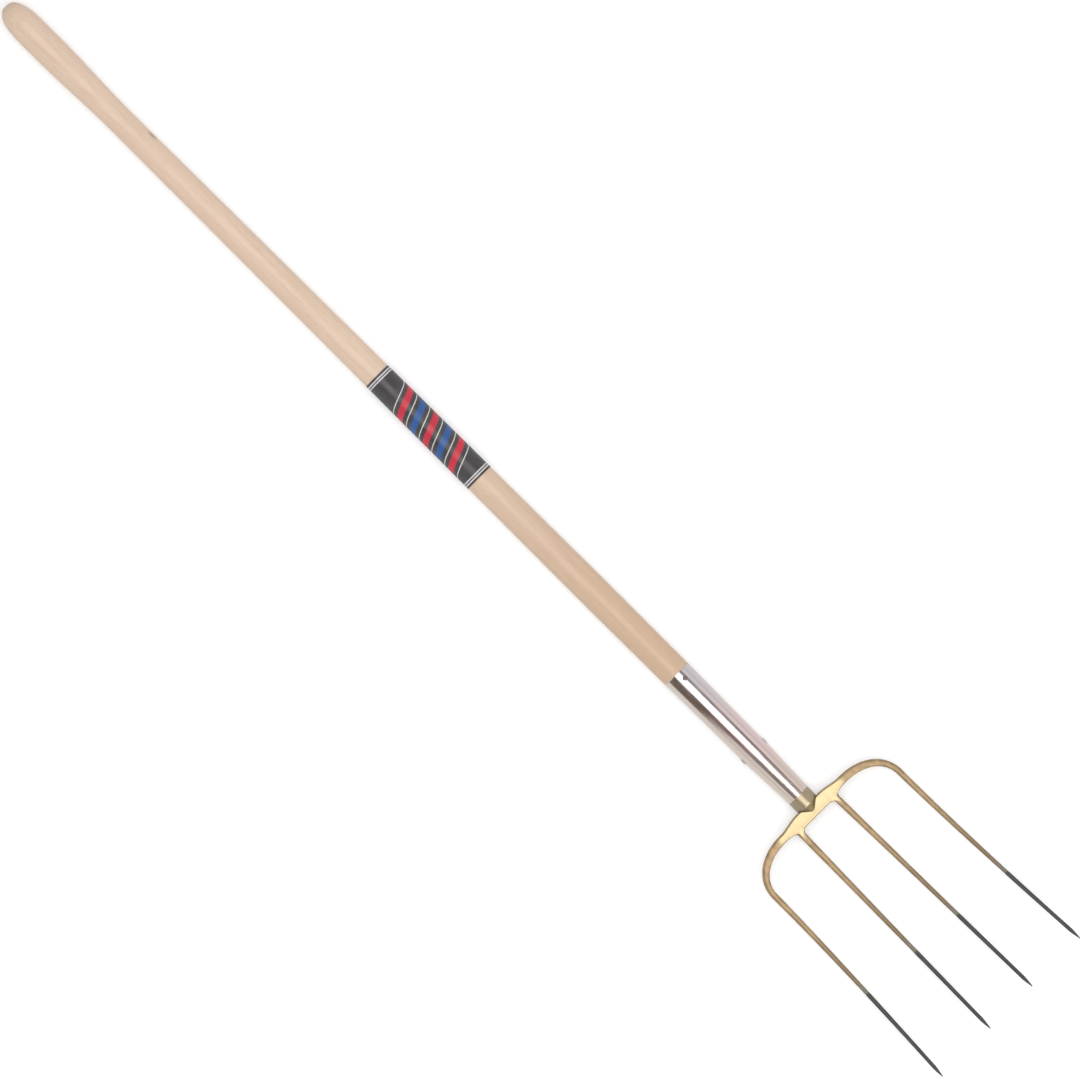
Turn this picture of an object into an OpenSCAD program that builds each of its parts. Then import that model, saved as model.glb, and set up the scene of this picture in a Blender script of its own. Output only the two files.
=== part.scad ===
// Manure fork: a turned ash handle, a plated ferrule and a forged head with four dished tines.
// The tool lies face up: X runs along the handle towards the points, Y is across the tines and Z is up.
// It rests on its grip and on the belly of its tines. The origin is on the floor under its middle.

/* [Handle] */
// Length of the handle from the grip end to the shoulder of the head
handle_len = 1300; // [1000:10:1500]
// Diameter of the grip
grip_d = 38; // [34:0.5:44]
// Length over which the grip end is rounded
grip_round = 44; // [30:1:60]
// Distance from the grip end to where the grip starts to narrow
grip_len = 70; // [62:1:100]
// Diameter of the waist behind the grip
waist_d = 32; // [28:0.5:34]
// Distance from the grip end to the waist
waist_at = 190; // [150:5:260]
// Diameter of the swelling above the ferrule
swell_d = 38; // [35:0.5:42]
// Distance from that swelling to the rim of the ferrule
swell_before = 140; // [80:5:200]

/* [Ferrule] */
// Length of the ferrule
ferrule_len = 200; // [150:5:240]
// Outside diameter at the rim, level with the wood
ferrule_rim_d = 37; // [35:0.5:42]
// Length of the steeper cone at the head end
ferrule_cone_len = 64; // [40:1:70]
// Outside diameter where that cone starts
ferrule_cone_d = 34.6; // [32:0.2:35]
// Outside diameter at the head end
ferrule_end_d = 30; // [27:0.5:32]
// Wall of the ferrule
ferrule_wall = 1.2; // [0.8:0.1:1.6]

/* [Fasteners] */
// Distance of the cross rivet from the shoulder of the head
rivet_at = 73; // [50:1:90]
// Diameter of the rivet's shank
rivet_d = 5; // [4:0.5:6]
// Diameter of the rivet's heads
rivet_head_d = 11; // [9:0.5:13]
// Height of the rivet's heads above the ferrule
rivet_head_h = 1.3; // [0.8:0.1:2]
// Distance of the nail from the rim of the ferrule
nail_at = 10; // [7:0.5:20]
// Turn of the nail about the handle's axis, from the face towards the left tines
nail_turn = 11; // [0:1:40]
// Diameter of the nail's shank
nail_d = 2.6; // [2:0.2:3.4]
// Diameter of the nail's head
nail_head_d = 6; // [5:0.5:8]
// Height of the nail's head above the ferrule
nail_head_h = 0.9; // [0.6:0.1:1.5]
// Length of the nail under its head
nail_len = 10.5; // [8:0.5:11]

/* [Tang and neck] */
// Length of the tang inside the handle
tang_len = 150; // [110:5:165]
// Width of the square tang at the shoulder
tang_w = 14; // [12:0.5:15]
// Width of the tang at its end
tang_end_w = 8; // [7:0.5:10]
// Length from the shoulder to the middle of the crossbar
neck_len = 23; // [20:0.5:32]
// Length of the round part of the neck
neck_round = 12.5; // [8:0.5:16]
// Diameter of the neck's nose where it runs out in the crossbar
neck_nose_d = 7; // [5:0.5:8]

/* [Crossbar] */
// Width of the crossbar between the inner tines
plate_w = 17.8; // [15:0.2:22]
// Thickness of the crossbar
bar_t = 9; // [8:0.2:11]
// Width of the crossbar outside the inner tines
bar_w = 10.2; // [9:0.2:13]
// Length of the run over which the crossbar narrows at each inner tine
web_len = 28; // [20:1:34]
// Length of a shoulder's bend along the tines
shoulder_len = 42; // [30:1:50]
// Width of a shoulder's bend across the head
shoulder_w = 54; // [40:0.5:56]

/* [Tines] */
// Length of a tine from the middle of the crossbar to its point
tine_len = 324.5; // [260:0.5:400]
// Distance between the outer tines at the shoulders
outer_span = 205; // [180:1:240]
// Distance between the outer points
outer_point_span = 226; // [212:1:260]
// Distance between the inner tines at the crossbar
inner_span = 58; // [50:1:66]
// Distance between the inner points
inner_point_span = 69; // [56:1:80]
// Width of a tine at the crossbar
tine_w = 8.6; // [7.5:0.1:10]
// Width of a tine just before its point
tine_end_w = 4.3; // [3.5:0.1:5.5]
// Length of the sharpened point
point_len = 14; // [8:1:24]
// Width of the blunted end of the point
point_w = 0.8; // [0.5:0.1:1.5]
// Radius of the fillets at the roots of the inner tines
root_fillet = 5.5; // [3:0.5:6]

/* [Black dip and label] */
// Length of the black dip on the middle line of the head
dip_len = 120; // [60:5:150]
// Thickness of the dip
dip_t = 0.3; // [0.2:0.05:0.5]
// Distance of the label from the grip end
label_at = 609; // [300:1:620]
// Length of the label
label_len = 168; // [60:1:180]
// Thickness of the label
label_t = 0.25; // [0.15:0.05:0.4]

/* [Hidden] */
$fn = 96;

// Gap between wood and the metal that is driven into it or over it
fit_gap = 0.1;
// Overrun of every cut
overrun = 1;
// Corners of a tine's section, and of the steps along its stretches
sides = 20;
bar_steps = 10;
shoulder_steps = 12;
fillet_steps = 10;
tine_steps = 10;
dip_steps = 7;
point_steps = 3;
round_steps = 14;
neck_steps = 8;
dome_steps = 6;

// Shapes that have no length of their own
grip_round_power = 2.6;
taper_power = 1.8;
splay_power = 1.5;
bend_power = 2.15;
bar_power = 4.5;
tine_power = 2.2;
// How far along a tine its belly lies, its depth over its width, and the slope of the dip line over the head
belly_share = 0.4;
depth_share = 1.2;
dip_slope_share = 0.065;
// Thickness of an inner tine in the crossbar, over the crossbar's own, and how far out its fillets start
root_depth_share = 0.75;
root_edge_share = 0.95;

rim_at = handle_len - ferrule_len;
swell_at = rim_at - swell_before;
bar_at = handle_len + neck_len;
overall_len = bar_at + tine_len + dip_t;
axis_h = max(grip_d, swell_d) / 2;

// Blends from a to b while t runs from 0 to 1, straight or with level ends
function mix(a, b, t) = a + (b - a) * t;
function ease(t) = let (c = min(max(t, 0), 1)) c * c * (3 - 2 * c);

// The handle in profile, as distances from the grip end and radii
grip_outline = [
    for (i = [0:round_steps])
        let (a = 90 * i / round_steps, bend = 2 / grip_round_power)
        [grip_round * (1 - pow(cos(a), bend)), grip_d / 2 * pow(sin(a), bend)]
];
waist_outline = [
    for (i = [0:round_steps])
        let (t = i / round_steps)
        [mix(grip_len, waist_at, t), mix(grip_d, waist_d, ease(t)) / 2]
];
shaft_outline = concat(grip_outline, waist_outline, [[swell_at, swell_d / 2], [rim_at, ferrule_rim_d / 2]]);

// The outside of the ferrule, as distances from the grip end and radii, and the same drawn in by a depth
ferrule_outline = [
    [rim_at, ferrule_rim_d / 2],
    [handle_len - ferrule_cone_len, ferrule_cone_d / 2],
    [handle_len, ferrule_end_d / 2]
];
function drawn_in(outline, depth) = [for (p = outline) [p[0], p[1] - depth]];
function reversed(list) = [for (i = [len(list) - 1:-1:0]) list[i]];

// How far along the tine a place is, from the crossbar to the point
function along(x) = (x - bar_at) / tine_len;

// Width of a tine, first without and then with its sharpened point
function shank_w(v) = mix(tine_end_w, tine_w, pow(max(1 - v, 0), taper_power));
point_share = 1 - point_len / tine_len;
function tine_width(v) =
    let (t = (v - point_share) / (1 - point_share))
    t <= 0 ? shank_w(v) : mix(shank_w(point_share), point_w, t);

// The dish: the height of the tines' middle line over the handle's axis, its slope and its upward normal
belly_drop = axis_h - tine_width(belly_share) * depth_share / 2;
function dish(x) = let (b = along(x) / belly_share) belly_drop * (b * b - 2 * b);
function dish_slope(x) = belly_drop / (tine_len * belly_share) * (2 * along(x) / belly_share - 2);
function unit(v) = v / norm(v);
function dish_normal(x) = unit([-dish_slope(x), 0, 1]);

// One ring of a forged bar that lies in the dish. A station is [x, y, [dx, dy], width, thickness, power]:
// the place and direction in plan, and the sizes and squareness of the section.
function ring(station, grow = 0) =
    let (
        x = station[0],
        heading = station[2],
        up = dish_normal(x),
        ahead = unit([heading[0], heading[1], dish_slope(x) * heading[0]]),
        out = cross(up, ahead),
        middle = [x, station[1], dish(x)],
        half_w = station[3] / 2 + grow,
        half_t = station[4] / 2 + grow,
        bend = 2 / station[5]
    )
    [
        for (i = [0:sides - 1])
            let (a = 360 * i / sides, c = cos(a), s = sin(a))
            middle + out * half_w * sign(c) * pow(abs(c), bend) + up * half_t * sign(s) * pow(abs(s), bend)
    ];

// A closed solid through rings that follow one another
module skin(rings) {
    count = len(rings);
    walls = [
        for (k = [0:count - 2], i = [0:sides - 1])
            let (a = k * sides + i, b = k * sides + (i + 1) % sides)
            each [[a, a + sides, b + sides], [a, b + sides, b]]
    ];
    first = [for (i = [0:sides - 1]) i];
    last = [for (i = [sides - 1:-1:0]) (count - 1) * sides + i];
    polyhedron([for (r = rings) each r], concat([first], walls, [last]));
}

// Where the black dip starts on a tine whose point lies at y, as a share of the tine's length
function dip_from(y) = 1 - (dip_len - dip_slope_share * y) / tine_len;

// The shares of a tine's length at which it has rings: down to the dip, under the dip, and in the point
function bare_shares(from, dip) = [for (i = [0:tine_steps - 1]) mix(from, dip, i / tine_steps)];
function dip_shares(dip) = concat(
    [for (i = [0:dip_steps - 1]) mix(dip, point_share, i / dip_steps)],
    [for (i = [0:point_steps]) mix(point_share, 1, i / point_steps)]
);

// Stations of an outer tine, from its shoulder on
outer_y = outer_span / 2;
outer_point_y = outer_point_span / 2;
shoulder_share = shoulder_len / tine_len;
function outer_station(v) =
    let (
        t = (v - shoulder_share) / (1 - shoulder_share),
        splay = outer_point_y - outer_y,
        heading = [tine_len - shoulder_len, splay * splay_power * pow(t, splay_power - 1)],
        w = tine_width(v)
    )
    [bar_at + v * tine_len, outer_y + splay * pow(t, splay_power), heading, w, w * depth_share, tine_power];

// Width of the crossbar at a distance from the middle of the head
function bar_width(y) = mix(plate_w, bar_w, ease((y - inner_y - tine_w / 2) / web_len + 1 / 2));

// Stations of an inner tine, from the end of its fillets on
inner_y = inner_span / 2;
inner_point_y = inner_point_span / 2;
function inner_station(v) =
    let (w = tine_width(v), splay = inner_point_y - inner_y)
    [bar_at + v * tine_len, inner_y + splay * v, [tine_len, splay], w, w * depth_share, tine_power];

// Edge of the crossbar on a flank of an inner tine, and the reach of the fillet at a distance from the bar
function flank_edge(flank) = bar_width(inner_y + flank * (tine_w / 2 + root_fillet)) / 2 * root_edge_share;
function fillet_reach(flank, from_bar) =
    let (rise = root_fillet - min(max(from_bar - flank_edge(flank), 0), root_fillet))
    root_fillet - sqrt(root_fillet * root_fillet - rise * rise);

// Stations of an inner tine's root: each flank flares on its own into the edge of the crossbar beside it
root_share = (flank_edge(-1) + root_fillet) / tine_len;
function root_station(from_bar) =
    let (
        tine = inner_station(from_bar / tine_len),
        outward = fillet_reach(1, from_bar),
        inward = fillet_reach(-1, from_bar),
        t = ease(from_bar / (root_share * tine_len))
    )
    [
        tine[0],
        tine[1] + (outward - inward) / 2,
        tine[2],
        tine[3] + outward + inward,
        mix(bar_t * root_depth_share, tine[4], t),
        mix(bar_power, tine_power, t)
    ];
root_end = root_share * tine_len;
inner_root = concat(
    [root_station(0)],
    [for (i = [0:fillet_steps - 1]) root_station(mix(flank_edge(1), root_end, i / fillet_steps))]
);

// Stations of the crossbar and a shoulder, from the middle of the head outwards
corner_y = outer_y - shoulder_w;
function bar_station(y) = [bar_at, y, [0, 1], bar_width(y), bar_t, bar_power];
function shoulder_station(a) =
    let (t = ease(a / 90), w = tine_width(shoulder_share), bend = 2 / bend_power)
    [
        bar_at + shoulder_len * (1 - pow(cos(a), bend)),
        corner_y + shoulder_w * pow(sin(a), bend),
        [shoulder_len * pow(sin(a), 2 - bend), shoulder_w * pow(cos(a), 2 - bend)],
        mix(bar_w, w, t),
        mix(bar_t, w * depth_share, t),
        mix(bar_power, tine_power, t)
    ];
bar_stations = [for (i = [0:bar_steps - 1]) bar_station(corner_y * i / bar_steps)];
shoulder_stations = [for (i = [0:shoulder_steps - 1]) shoulder_station(90 * i / shoulder_steps)];

// One half of the outer frame, from the middle of the crossbar to the point of an outer tine
function outer_half(dip) = concat(
    bar_stations,
    shoulder_stations,
    [for (v = concat(bare_shares(shoulder_share, dip), dip_shares(dip))) outer_station(v)]
);
// A station on the other side of the middle line, seen on the way back towards the middle
function mirrored(s) = [s[0], -s[1], [-s[2][0], s[2][1]], s[3], s[4], s[5]];
function right_half(dip) = [for (s = reversed(outer_half(dip))) mirrored(s)];

// Crossbar, shoulders and outer tines in one run from the right point to the left point
module outer_frame() {
    right = right_half(dip_from(-outer_point_y));
    left = outer_half(dip_from(outer_point_y));
    stations = concat([for (i = [0:len(right) - 2]) right[i]], left);
    skin([for (s = stations) ring(s)]);
}

// One inner tine: side is 1 on the left and -1 on the right of someone who holds the handle
function inner_tine_stations(side) =
    let (dip = dip_from(side * inner_point_y))
    concat(inner_root, [for (v = concat(bare_shares(root_share, dip), dip_shares(dip))) inner_station(v)]);
module on_side(side) {
    if (side > 0) children();
    else mirror([0, 1, 0]) children();
}
module inner_tine(side) {
    on_side(side) skin([for (s = inner_tine_stations(side)) ring(s)]);
}

// Turns a profile of [distance along the handle, radius] about the handle's axis
module turned(outline) {
    rotate([0, 90, 0])
        rotate_extrude()
            polygon([for (p = outline) [p[1], p[0]]]);
}

// Puts a piece into its place over the floor
module placed() {
    translate([-overall_len / 2, 0, axis_h]) children();
}

// The square tang from just inside the neck, grown by a gap for the hole that takes it
module tang(gap = 0) {
    start_w = tang_w + 2 * gap;
    translate([handle_len + overrun, 0, 0])
        rotate([0, -90, 0])
            linear_extrude(tang_len + overrun + gap, scale = (tang_end_w + 2 * gap) / start_w)
                square(start_w, center = true);
}

// The rivet's shank or, with a gap, its hole, from one side of the handle to the other
module rivet_shank(length, gap = 0) {
    translate([handle_len - rivet_at, 0, 0])
        rotate([90, 0, 0])
            cylinder(h = length, d = rivet_d + 2 * gap, center = true);
}

// A low round head on a base plane: the base reaches down by seat below the ferrule
module domed_head(d, h, seat) {
    rotate_extrude()
        polygon(concat(
            [[0, -seat], [d / 2, -seat]],
            [for (i = [0:dome_steps]) let (a = 90 * i / dome_steps) [d / 2 * cos(a), h * sin(a)]]
        ));
}

// The neck of the head in profile, from the shoulder to where it runs out in the crossbar
nose_at = bar_at + plate_w / 4;
run_out = [
    for (i = [0:neck_steps])
        let (t = i / neck_steps)
        [mix(handle_len + neck_round, nose_at, t), mix(ferrule_end_d, neck_nose_d, ease(t)) / 2]
];
neck_outline = concat([[handle_len, 0], [handle_len, ferrule_end_d / 2]], run_out, [[nose_at, 0]]);

// The ferrule without its bore, which fasteners' heads are seated on
module ferrule_body() {
    turned(concat([[rim_at, 0]], ferrule_outline, [[handle_len, 0]]));
}

// Turned ash handle with its nose, the hole for the tang and the holes of rivet and nail
module handle() {
    nose = drawn_in(ferrule_outline, ferrule_wall + fit_gap);
    color([0.86, 0.76, 0.66])
        placed()
            difference() {
                turned(concat(shaft_outline, nose, [[handle_len, 0]]));
                tang(fit_gap);
                rivet_shank(2 * swell_d, fit_gap);
                nail_hole(fit_gap);
            }
}

// Plated sleeve over the nose of the handle, with a broken edge at its rim
module ferrule() {
    edge = ferrule_wall / 3;
    edge_end = [rim_at + edge, lookup(rim_at + edge, ferrule_outline)];
    rim = [[rim_at, ferrule_rim_d / 2 - edge], edge_end];
    outside = concat(rim, [for (i = [1:2]) ferrule_outline[i]]);
    color([0.8, 0.77, 0.77])
        placed()
            difference() {
                turned(concat(outside, reversed(drawn_in(ferrule_outline, ferrule_wall))));
                rivet_shank(2 * ferrule_rim_d, fit_gap);
                nail_hole(fit_gap);
            }
}

// Forged head: tang, round neck that runs out in the crossbar, shoulders and four tines
module head() {
    color([0.78, 0.67, 0.47])
        placed()
            difference() {
                union() {
                    outer_frame();
                    for (side = [-1, 1]) inner_tine(side);
                    turned(neck_outline);
                    tang();
                }
                rivet_shank(2 * tang_w, fit_gap);
            }
}

// Rivet through ferrule, wood and tang, with a low head on each side
module cross_rivet() {
    at = handle_len - rivet_at;
    surface = lookup(at, ferrule_outline);
    seat = surface - sqrt(surface * surface - rivet_head_d * rivet_head_d / 4);
    color([0.62, 0.6, 0.58])
        placed() {
            rivet_shank(2 * surface + rivet_head_h);
            for (side = [-1, 1])
                difference() {
                    translate([at, side * surface, 0])
                        rotate([-side * 90, 0, 0])
                            domed_head(rivet_head_d, rivet_head_h, seat + ferrule_wall / 2);
                    ferrule_body();
                }
        }
}

// The nail's place near the rim, where its axis points out of the handle
nail_x = rim_at + nail_at;
nail_surface = lookup(nail_x, ferrule_outline);
module at_nail() {
    rotate([-nail_turn, 0, 0]) translate([nail_x, 0, nail_surface]) children();
}
module nail_hole(gap = 0) {
    at_nail()
        translate([0, 0, -nail_len - gap]) cylinder(h = nail_len + gap + overrun, d = nail_d + 2 * gap);
}

// Nail through the ferrule into the wood
module ferrule_nail() {
    tip_len = nail_d;
    seat = nail_surface - sqrt(nail_surface * nail_surface - nail_head_d * nail_head_d / 4);
    color([0.42, 0.41, 0.4])
        placed()
            at_nail() {
                translate([0, 0, tip_len - nail_len])
                    cylinder(h = nail_len - tip_len + nail_head_h / 2, d = nail_d);
                translate([0, 0, -nail_len]) cylinder(h = tip_len, d1 = 0, d2 = nail_d);
                difference() {
                    domed_head(nail_head_d, nail_head_h, seat + ferrule_wall / 2);
                    translate([-nail_x, 0, -nail_surface]) ferrule_body();
                }
            }
}

// Printed film wrapped round the handle
module label() {
    inside = [for (p = shaft_outline) if (p[0] > label_at && p[0] < label_at + label_len) p];
    ends = [for (x = [label_at, label_at + label_len]) [x, lookup(x, shaft_outline)]];
    wood = concat([ends[0]], inside, [ends[1]]);
    color([0.36, 0.35, 0.36])
        placed()
            turned(concat(wood, reversed(drawn_in(wood, -label_t))));
}

// Black dip on the last stretch of a tine: a cup whose inside is the tine's own surface
module tip_coat(side, stations) {
    end = stations[len(stations) - 1];
    cap = concat([end[0] + dip_t], [for (i = [1:5]) end[i]]);
    inside = [for (s = reversed(stations)) ring(s)];
    outside = [for (s = stations) ring(s, dip_t)];
    color([0.3, 0.3, 0.29])
        placed()
            on_side(side) skin(concat(inside, outside, [ring(cap)]));
}
module outer_tip_coat(side) {
    tip_coat(side, [for (v = dip_shares(dip_from(side * outer_point_y))) outer_station(v)]);
}
module inner_tip_coat(side) {
    tip_coat(side, [for (v = dip_shares(dip_from(side * inner_point_y))) inner_station(v)]);
}

handle();
ferrule();
head();
cross_rivet();
ferrule_nail();
label();
outer_tip_coat(1);  // tip_coat_left_outer
inner_tip_coat(1);  // tip_coat_left_inner
inner_tip_coat(-1);  // tip_coat_right_inner
outer_tip_coat(-1);  // tip_coat_right_outer
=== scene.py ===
import math

import bmesh
import bpy
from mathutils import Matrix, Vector


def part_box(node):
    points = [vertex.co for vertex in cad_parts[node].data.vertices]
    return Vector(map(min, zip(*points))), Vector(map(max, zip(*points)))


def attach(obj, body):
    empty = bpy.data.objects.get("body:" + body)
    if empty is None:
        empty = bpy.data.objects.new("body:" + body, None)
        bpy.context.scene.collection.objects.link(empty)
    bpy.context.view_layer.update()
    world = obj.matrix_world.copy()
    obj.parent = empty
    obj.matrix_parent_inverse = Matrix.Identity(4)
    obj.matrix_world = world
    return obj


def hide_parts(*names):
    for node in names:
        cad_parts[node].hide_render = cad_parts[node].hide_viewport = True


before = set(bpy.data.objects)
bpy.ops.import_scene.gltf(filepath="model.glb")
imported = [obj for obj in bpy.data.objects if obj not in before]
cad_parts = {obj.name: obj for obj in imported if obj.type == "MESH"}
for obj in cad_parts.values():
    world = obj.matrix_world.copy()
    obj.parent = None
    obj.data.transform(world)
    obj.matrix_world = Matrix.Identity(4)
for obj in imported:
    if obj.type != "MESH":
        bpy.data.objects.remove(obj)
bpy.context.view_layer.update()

# Handle: one stick of pale ash, turned on a lathe to a rounded grip, a slim waist and a swelling before the
# ferrule, then sanded and given one thin clear coat. The nose is turned down for the ferrule, and a tapered
# square hole in it takes the tang of the head.
handle_low, handle_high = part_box("handle")
end_clearance = 0.000001
grip_end = handle_low.x + end_clearance
shoulder = handle_high.x
axis_z = (handle_low.z + handle_high.z) / 2
grip_r, waist_r, swell_r = 0.019, 0.016, 0.019
grip_round, grip_len, waist_at, swell_at = 0.044, 0.070, 0.190, 0.960
rim_at, cone_at, handle_len = 1.100, 1.236, 1.300
rim_r, cone_r, end_r = 0.0185, 0.0173, 0.0150
under_ferrule, rim_gap = 0.0013, 0.00002
grip_power, grip_steps, shaft_step, shaft_sides = 2.6, 40, 0.004, 96
tang_len, tang_half, tang_end_half, tang_gap = 0.150, 0.007, 0.004, 0.0001
tang_power, hole_overrun = 14, 0.002
bruise_middle, bruise_half = Vector((-0.5965, 0.0141, 0.0268)), Vector((0.0095, 0.0045, 0.0045))
bruise_depth = 0.0006
weld_gap, crisp_angle = 0.000002, math.radians(40)


def mix(a, b, t):
    """The value at a share of the way from a to b."""
    return a + (b - a) * t


def ease(t):
    """A share held between 0 and 1 that starts and ends gently."""
    t = min(max(t, 0), 1)
    return t * t * (3 - 2 * t)


def evenly(start, end, steps):
    """Values from start to end in even steps."""
    return [mix(start, end, i / steps) for i in range(steps + 1)]


def quarter_turn(steps):
    """Angles from 0 to a right angle in even steps."""
    return [math.pi / 2 * i / steps for i in range(steps + 1)]


def ferrule_r(d):
    """Outside radius of the ferrule at a distance from the grip end."""
    if d < cone_at:
        return mix(rim_r, cone_r, (d - rim_at) / (cone_at - rim_at))
    return mix(cone_r, end_r, (d - cone_at) / (handle_len - cone_at))


def shaft_r(d):
    """Radius of the wood between the rounded grip end and the rim of the ferrule."""
    if d < waist_at:
        return mix(grip_r, waist_r, ease((d - grip_len) / (waist_at - grip_len)))
    if d < swell_at:
        return mix(waist_r, swell_r, (d - waist_at) / (swell_at - waist_at))
    return mix(swell_r, rim_r, (d - swell_at) / (rim_at - swell_at))


def on_axis(d, r):
    """A round station on the handle's axis: middle, across, up, half width, half depth and squareness."""
    return (Vector((grip_end + d, 0, axis_z)), Vector((0, 1, 0)), Vector((0, 0, 1)), r, r, 2)


def node(tree, kind, links=None, **settings):
    """Adds a node. Its inputs, by name or number, are given as values or as outputs of other nodes."""
    made = tree.nodes.new(kind)
    for name, value in settings.items():
        setattr(made, name, value)
    for key, value in (links or {}).items():
        if isinstance(value, bpy.types.NodeSocket):
            tree.links.new(value, made.inputs[key])
        else:
            made.inputs[key].default_value = value
    return made


def maths(tree, operation, *terms):
    """Output of a math node."""
    return node(tree, "ShaderNodeMath", dict(enumerate(terms)), operation=operation).outputs[0]


def swept_section():
    """A round or square section, swept along a path whose points carry the section's frame and sizes."""
    tree = bpy.data.node_groups.new("swept_section", "GeometryNodeTree")
    sockets = {}
    for name, kind in (
        ("Path", "Geometry"), ("Sides", "Int"), ("Closed Ends", "Bool"), ("Waviness", "Float"),
        ("Wave Length", "Float"), ("Seed", "Int"), ("Material", "Material"),
    ):
        made = tree.interface.new_socket(name, in_out="INPUT", socket_type="NodeSocket" + kind)
        sockets[name] = made.identifier
    tree.interface.new_socket("Mesh", in_out="OUTPUT", socket_type="NodeSocketGeometry")
    given = tree.nodes.new("NodeGroupInput").outputs
    result = tree.nodes.new("NodeGroupOutput")

    def field(name, kind="FLOAT"):
        made = node(tree, "GeometryNodeInputNamedAttribute", {"Name": name}, data_type=kind)
        return made.outputs["Attribute"]

    def stored(geometry, name, value, kind):
        return node(
            tree, "GeometryNodeStoreNamedAttribute", {"Geometry": geometry, "Name": name, "Value": value},
            data_type=kind, domain="POINT",
        ).outputs[0]

    def number(operation, *terms):
        return maths(tree, operation, *terms)

    def vector(operation, *terms):
        return node(tree, "ShaderNodeVectorMath", dict(enumerate(terms)), operation=operation).outputs[0]

    def scaled(direction, length):
        links = {"Vector": direction, "Scale": length}
        return node(tree, "ShaderNodeVectorMath", links, operation="SCALE").outputs[0]

    position = node(tree, "GeometryNodeInputPosition").outputs[0]
    path = stored(given["Path"], "middle", position, "FLOAT_VECTOR")
    path = node(tree, "GeometryNodeMeshToCurve", {0: path}).outputs[0]
    trial_ring = {"Resolution": given["Sides"], "Radius": 0.001}
    ring = node(tree, "GeometryNodeCurvePrimitiveCircle", trial_ring).outputs[0]
    ring = stored(ring, "turn", node(tree, "GeometryNodeSplineParameter").outputs["Factor"], "FLOAT")
    tube = node(
        tree, "GeometryNodeCurveToMesh",
        {"Curve": path, "Profile Curve": ring, "Fill Caps": given["Closed Ends"]},
    ).outputs[0]
    angle = number("MULTIPLY", field("turn"), 2 * math.pi)
    bend = number("DIVIDE", 2.0, field("squareness"))
    reach = field("middle", "FLOAT_VECTOR")
    for way, half, part in (("across", "half_width", "COSINE"), ("up", "half_depth", "SINE")):
        share = number(part, angle)
        corner = number("MULTIPLY", number("SIGN", share), number("POWER", number("ABSOLUTE", share), bend))
        offset = number("MULTIPLY", corner, field(half))
        reach = vector("ADD", reach, scaled(field(way, "FLOAT_VECTOR"), offset))
    tube = node(tree, "GeometryNodeSetPosition", {"Geometry": tube, "Position": reach}).outputs[0]
    waves_per_metre = number("DIVIDE", 1.0, given["Wave Length"])
    noise = node(
        tree, "ShaderNodeTexNoise",
        {"Vector": position, "W": given["Seed"], "Scale": waves_per_metre, "Detail": 2.0},
        noise_dimensions="4D",
    ).outputs[0]
    outward = vector("NORMALIZE", vector("SUBTRACT", position, field("middle", "FLOAT_VECTOR")))
    hollow = scaled(outward, number("MULTIPLY", number("MULTIPLY", noise, given["Waviness"]), -1.0))
    tube = node(tree, "GeometryNodeSetPosition", {"Geometry": tube, "Offset": hollow}).outputs[0]
    tube = node(tree, "GeometryNodeMergeByDistance", {"Geometry": tube, "Distance": weld_gap}).outputs[0]
    tube = node(tree, "GeometryNodeSetShadeSmooth", {0: tube}).outputs[0]
    tube = node(tree, "GeometryNodeRealizeInstances", {0: tube}).outputs[0]
    tube = node(
        tree, "GeometryNodeSetMaterial", {"Geometry": tube, "Material": given["Material"]},
    ).outputs[0]
    tree.links.new(tube, result.inputs["Mesh"])
    return tree, sockets


sweep_tree, sweep_sockets = swept_section()


def placed(name, data):
    """A mesh, lamp or camera as an object in the scene."""
    made = bpy.data.objects.new(name, data)
    bpy.context.scene.collection.objects.link(made)
    return made


def finished(piece):
    """Leaves a piece with a plain mesh: outward normals, and crisp edges where faces meet at an angle."""
    seen = piece.evaluated_get(bpy.context.evaluated_depsgraph_get())
    mesh = bpy.data.meshes.new_from_object(seen)
    piece.modifiers.clear()
    piece.data = mesh
    shape = bmesh.new()
    shape.from_mesh(mesh)
    bmesh.ops.remove_doubles(shape, verts=shape.verts, dist=weld_gap)
    bmesh.ops.dissolve_degenerate(shape, dist=weld_gap, edges=shape.edges)
    bmesh.ops.recalc_face_normals(shape, faces=shape.faces)
    shape.to_mesh(mesh)
    shape.free()
    for name in ("middle", "across", "up", "half_width", "half_depth", "squareness", "turn"):
        if name in mesh.attributes:
            mesh.attributes.remove(mesh.attributes[name])
    mesh.set_sharp_from_angle(angle=crisp_angle)
    return piece


def swept(name, stations, finish, sides, closed=True, waviness=0.0, wave_length=0.02, seed=1):
    """A piece swept along stations of middle, across, up, half width, half depth and squareness."""
    mesh = bpy.data.meshes.new(name)
    mesh.from_pydata([s[0] for s in stations], [(i, i + 1) for i in range(len(stations) - 1)], [])
    for column, way in ((1, "across"), (2, "up")):
        values = mesh.attributes.new(way, "FLOAT_VECTOR", "POINT")
        values.data.foreach_set("vector", [c for s in stations for c in s[column]])
    for column, size in ((3, "half_width"), (4, "half_depth"), (5, "squareness")):
        values = mesh.attributes.new(size, "FLOAT", "POINT")
        values.data.foreach_set("value", [s[column] for s in stations])
    piece = placed(name, mesh)
    modifier = piece.modifiers.new("sweep", "NODES")
    modifier.node_group = sweep_tree
    for socket, value in (
        ("Sides", sides), ("Closed Ends", closed), ("Waviness", waviness), ("Wave Length", wave_length),
        ("Seed", seed), ("Material", finish),
    ):
        modifier[sweep_sockets[socket]] = value
    return finished(piece)


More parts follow.
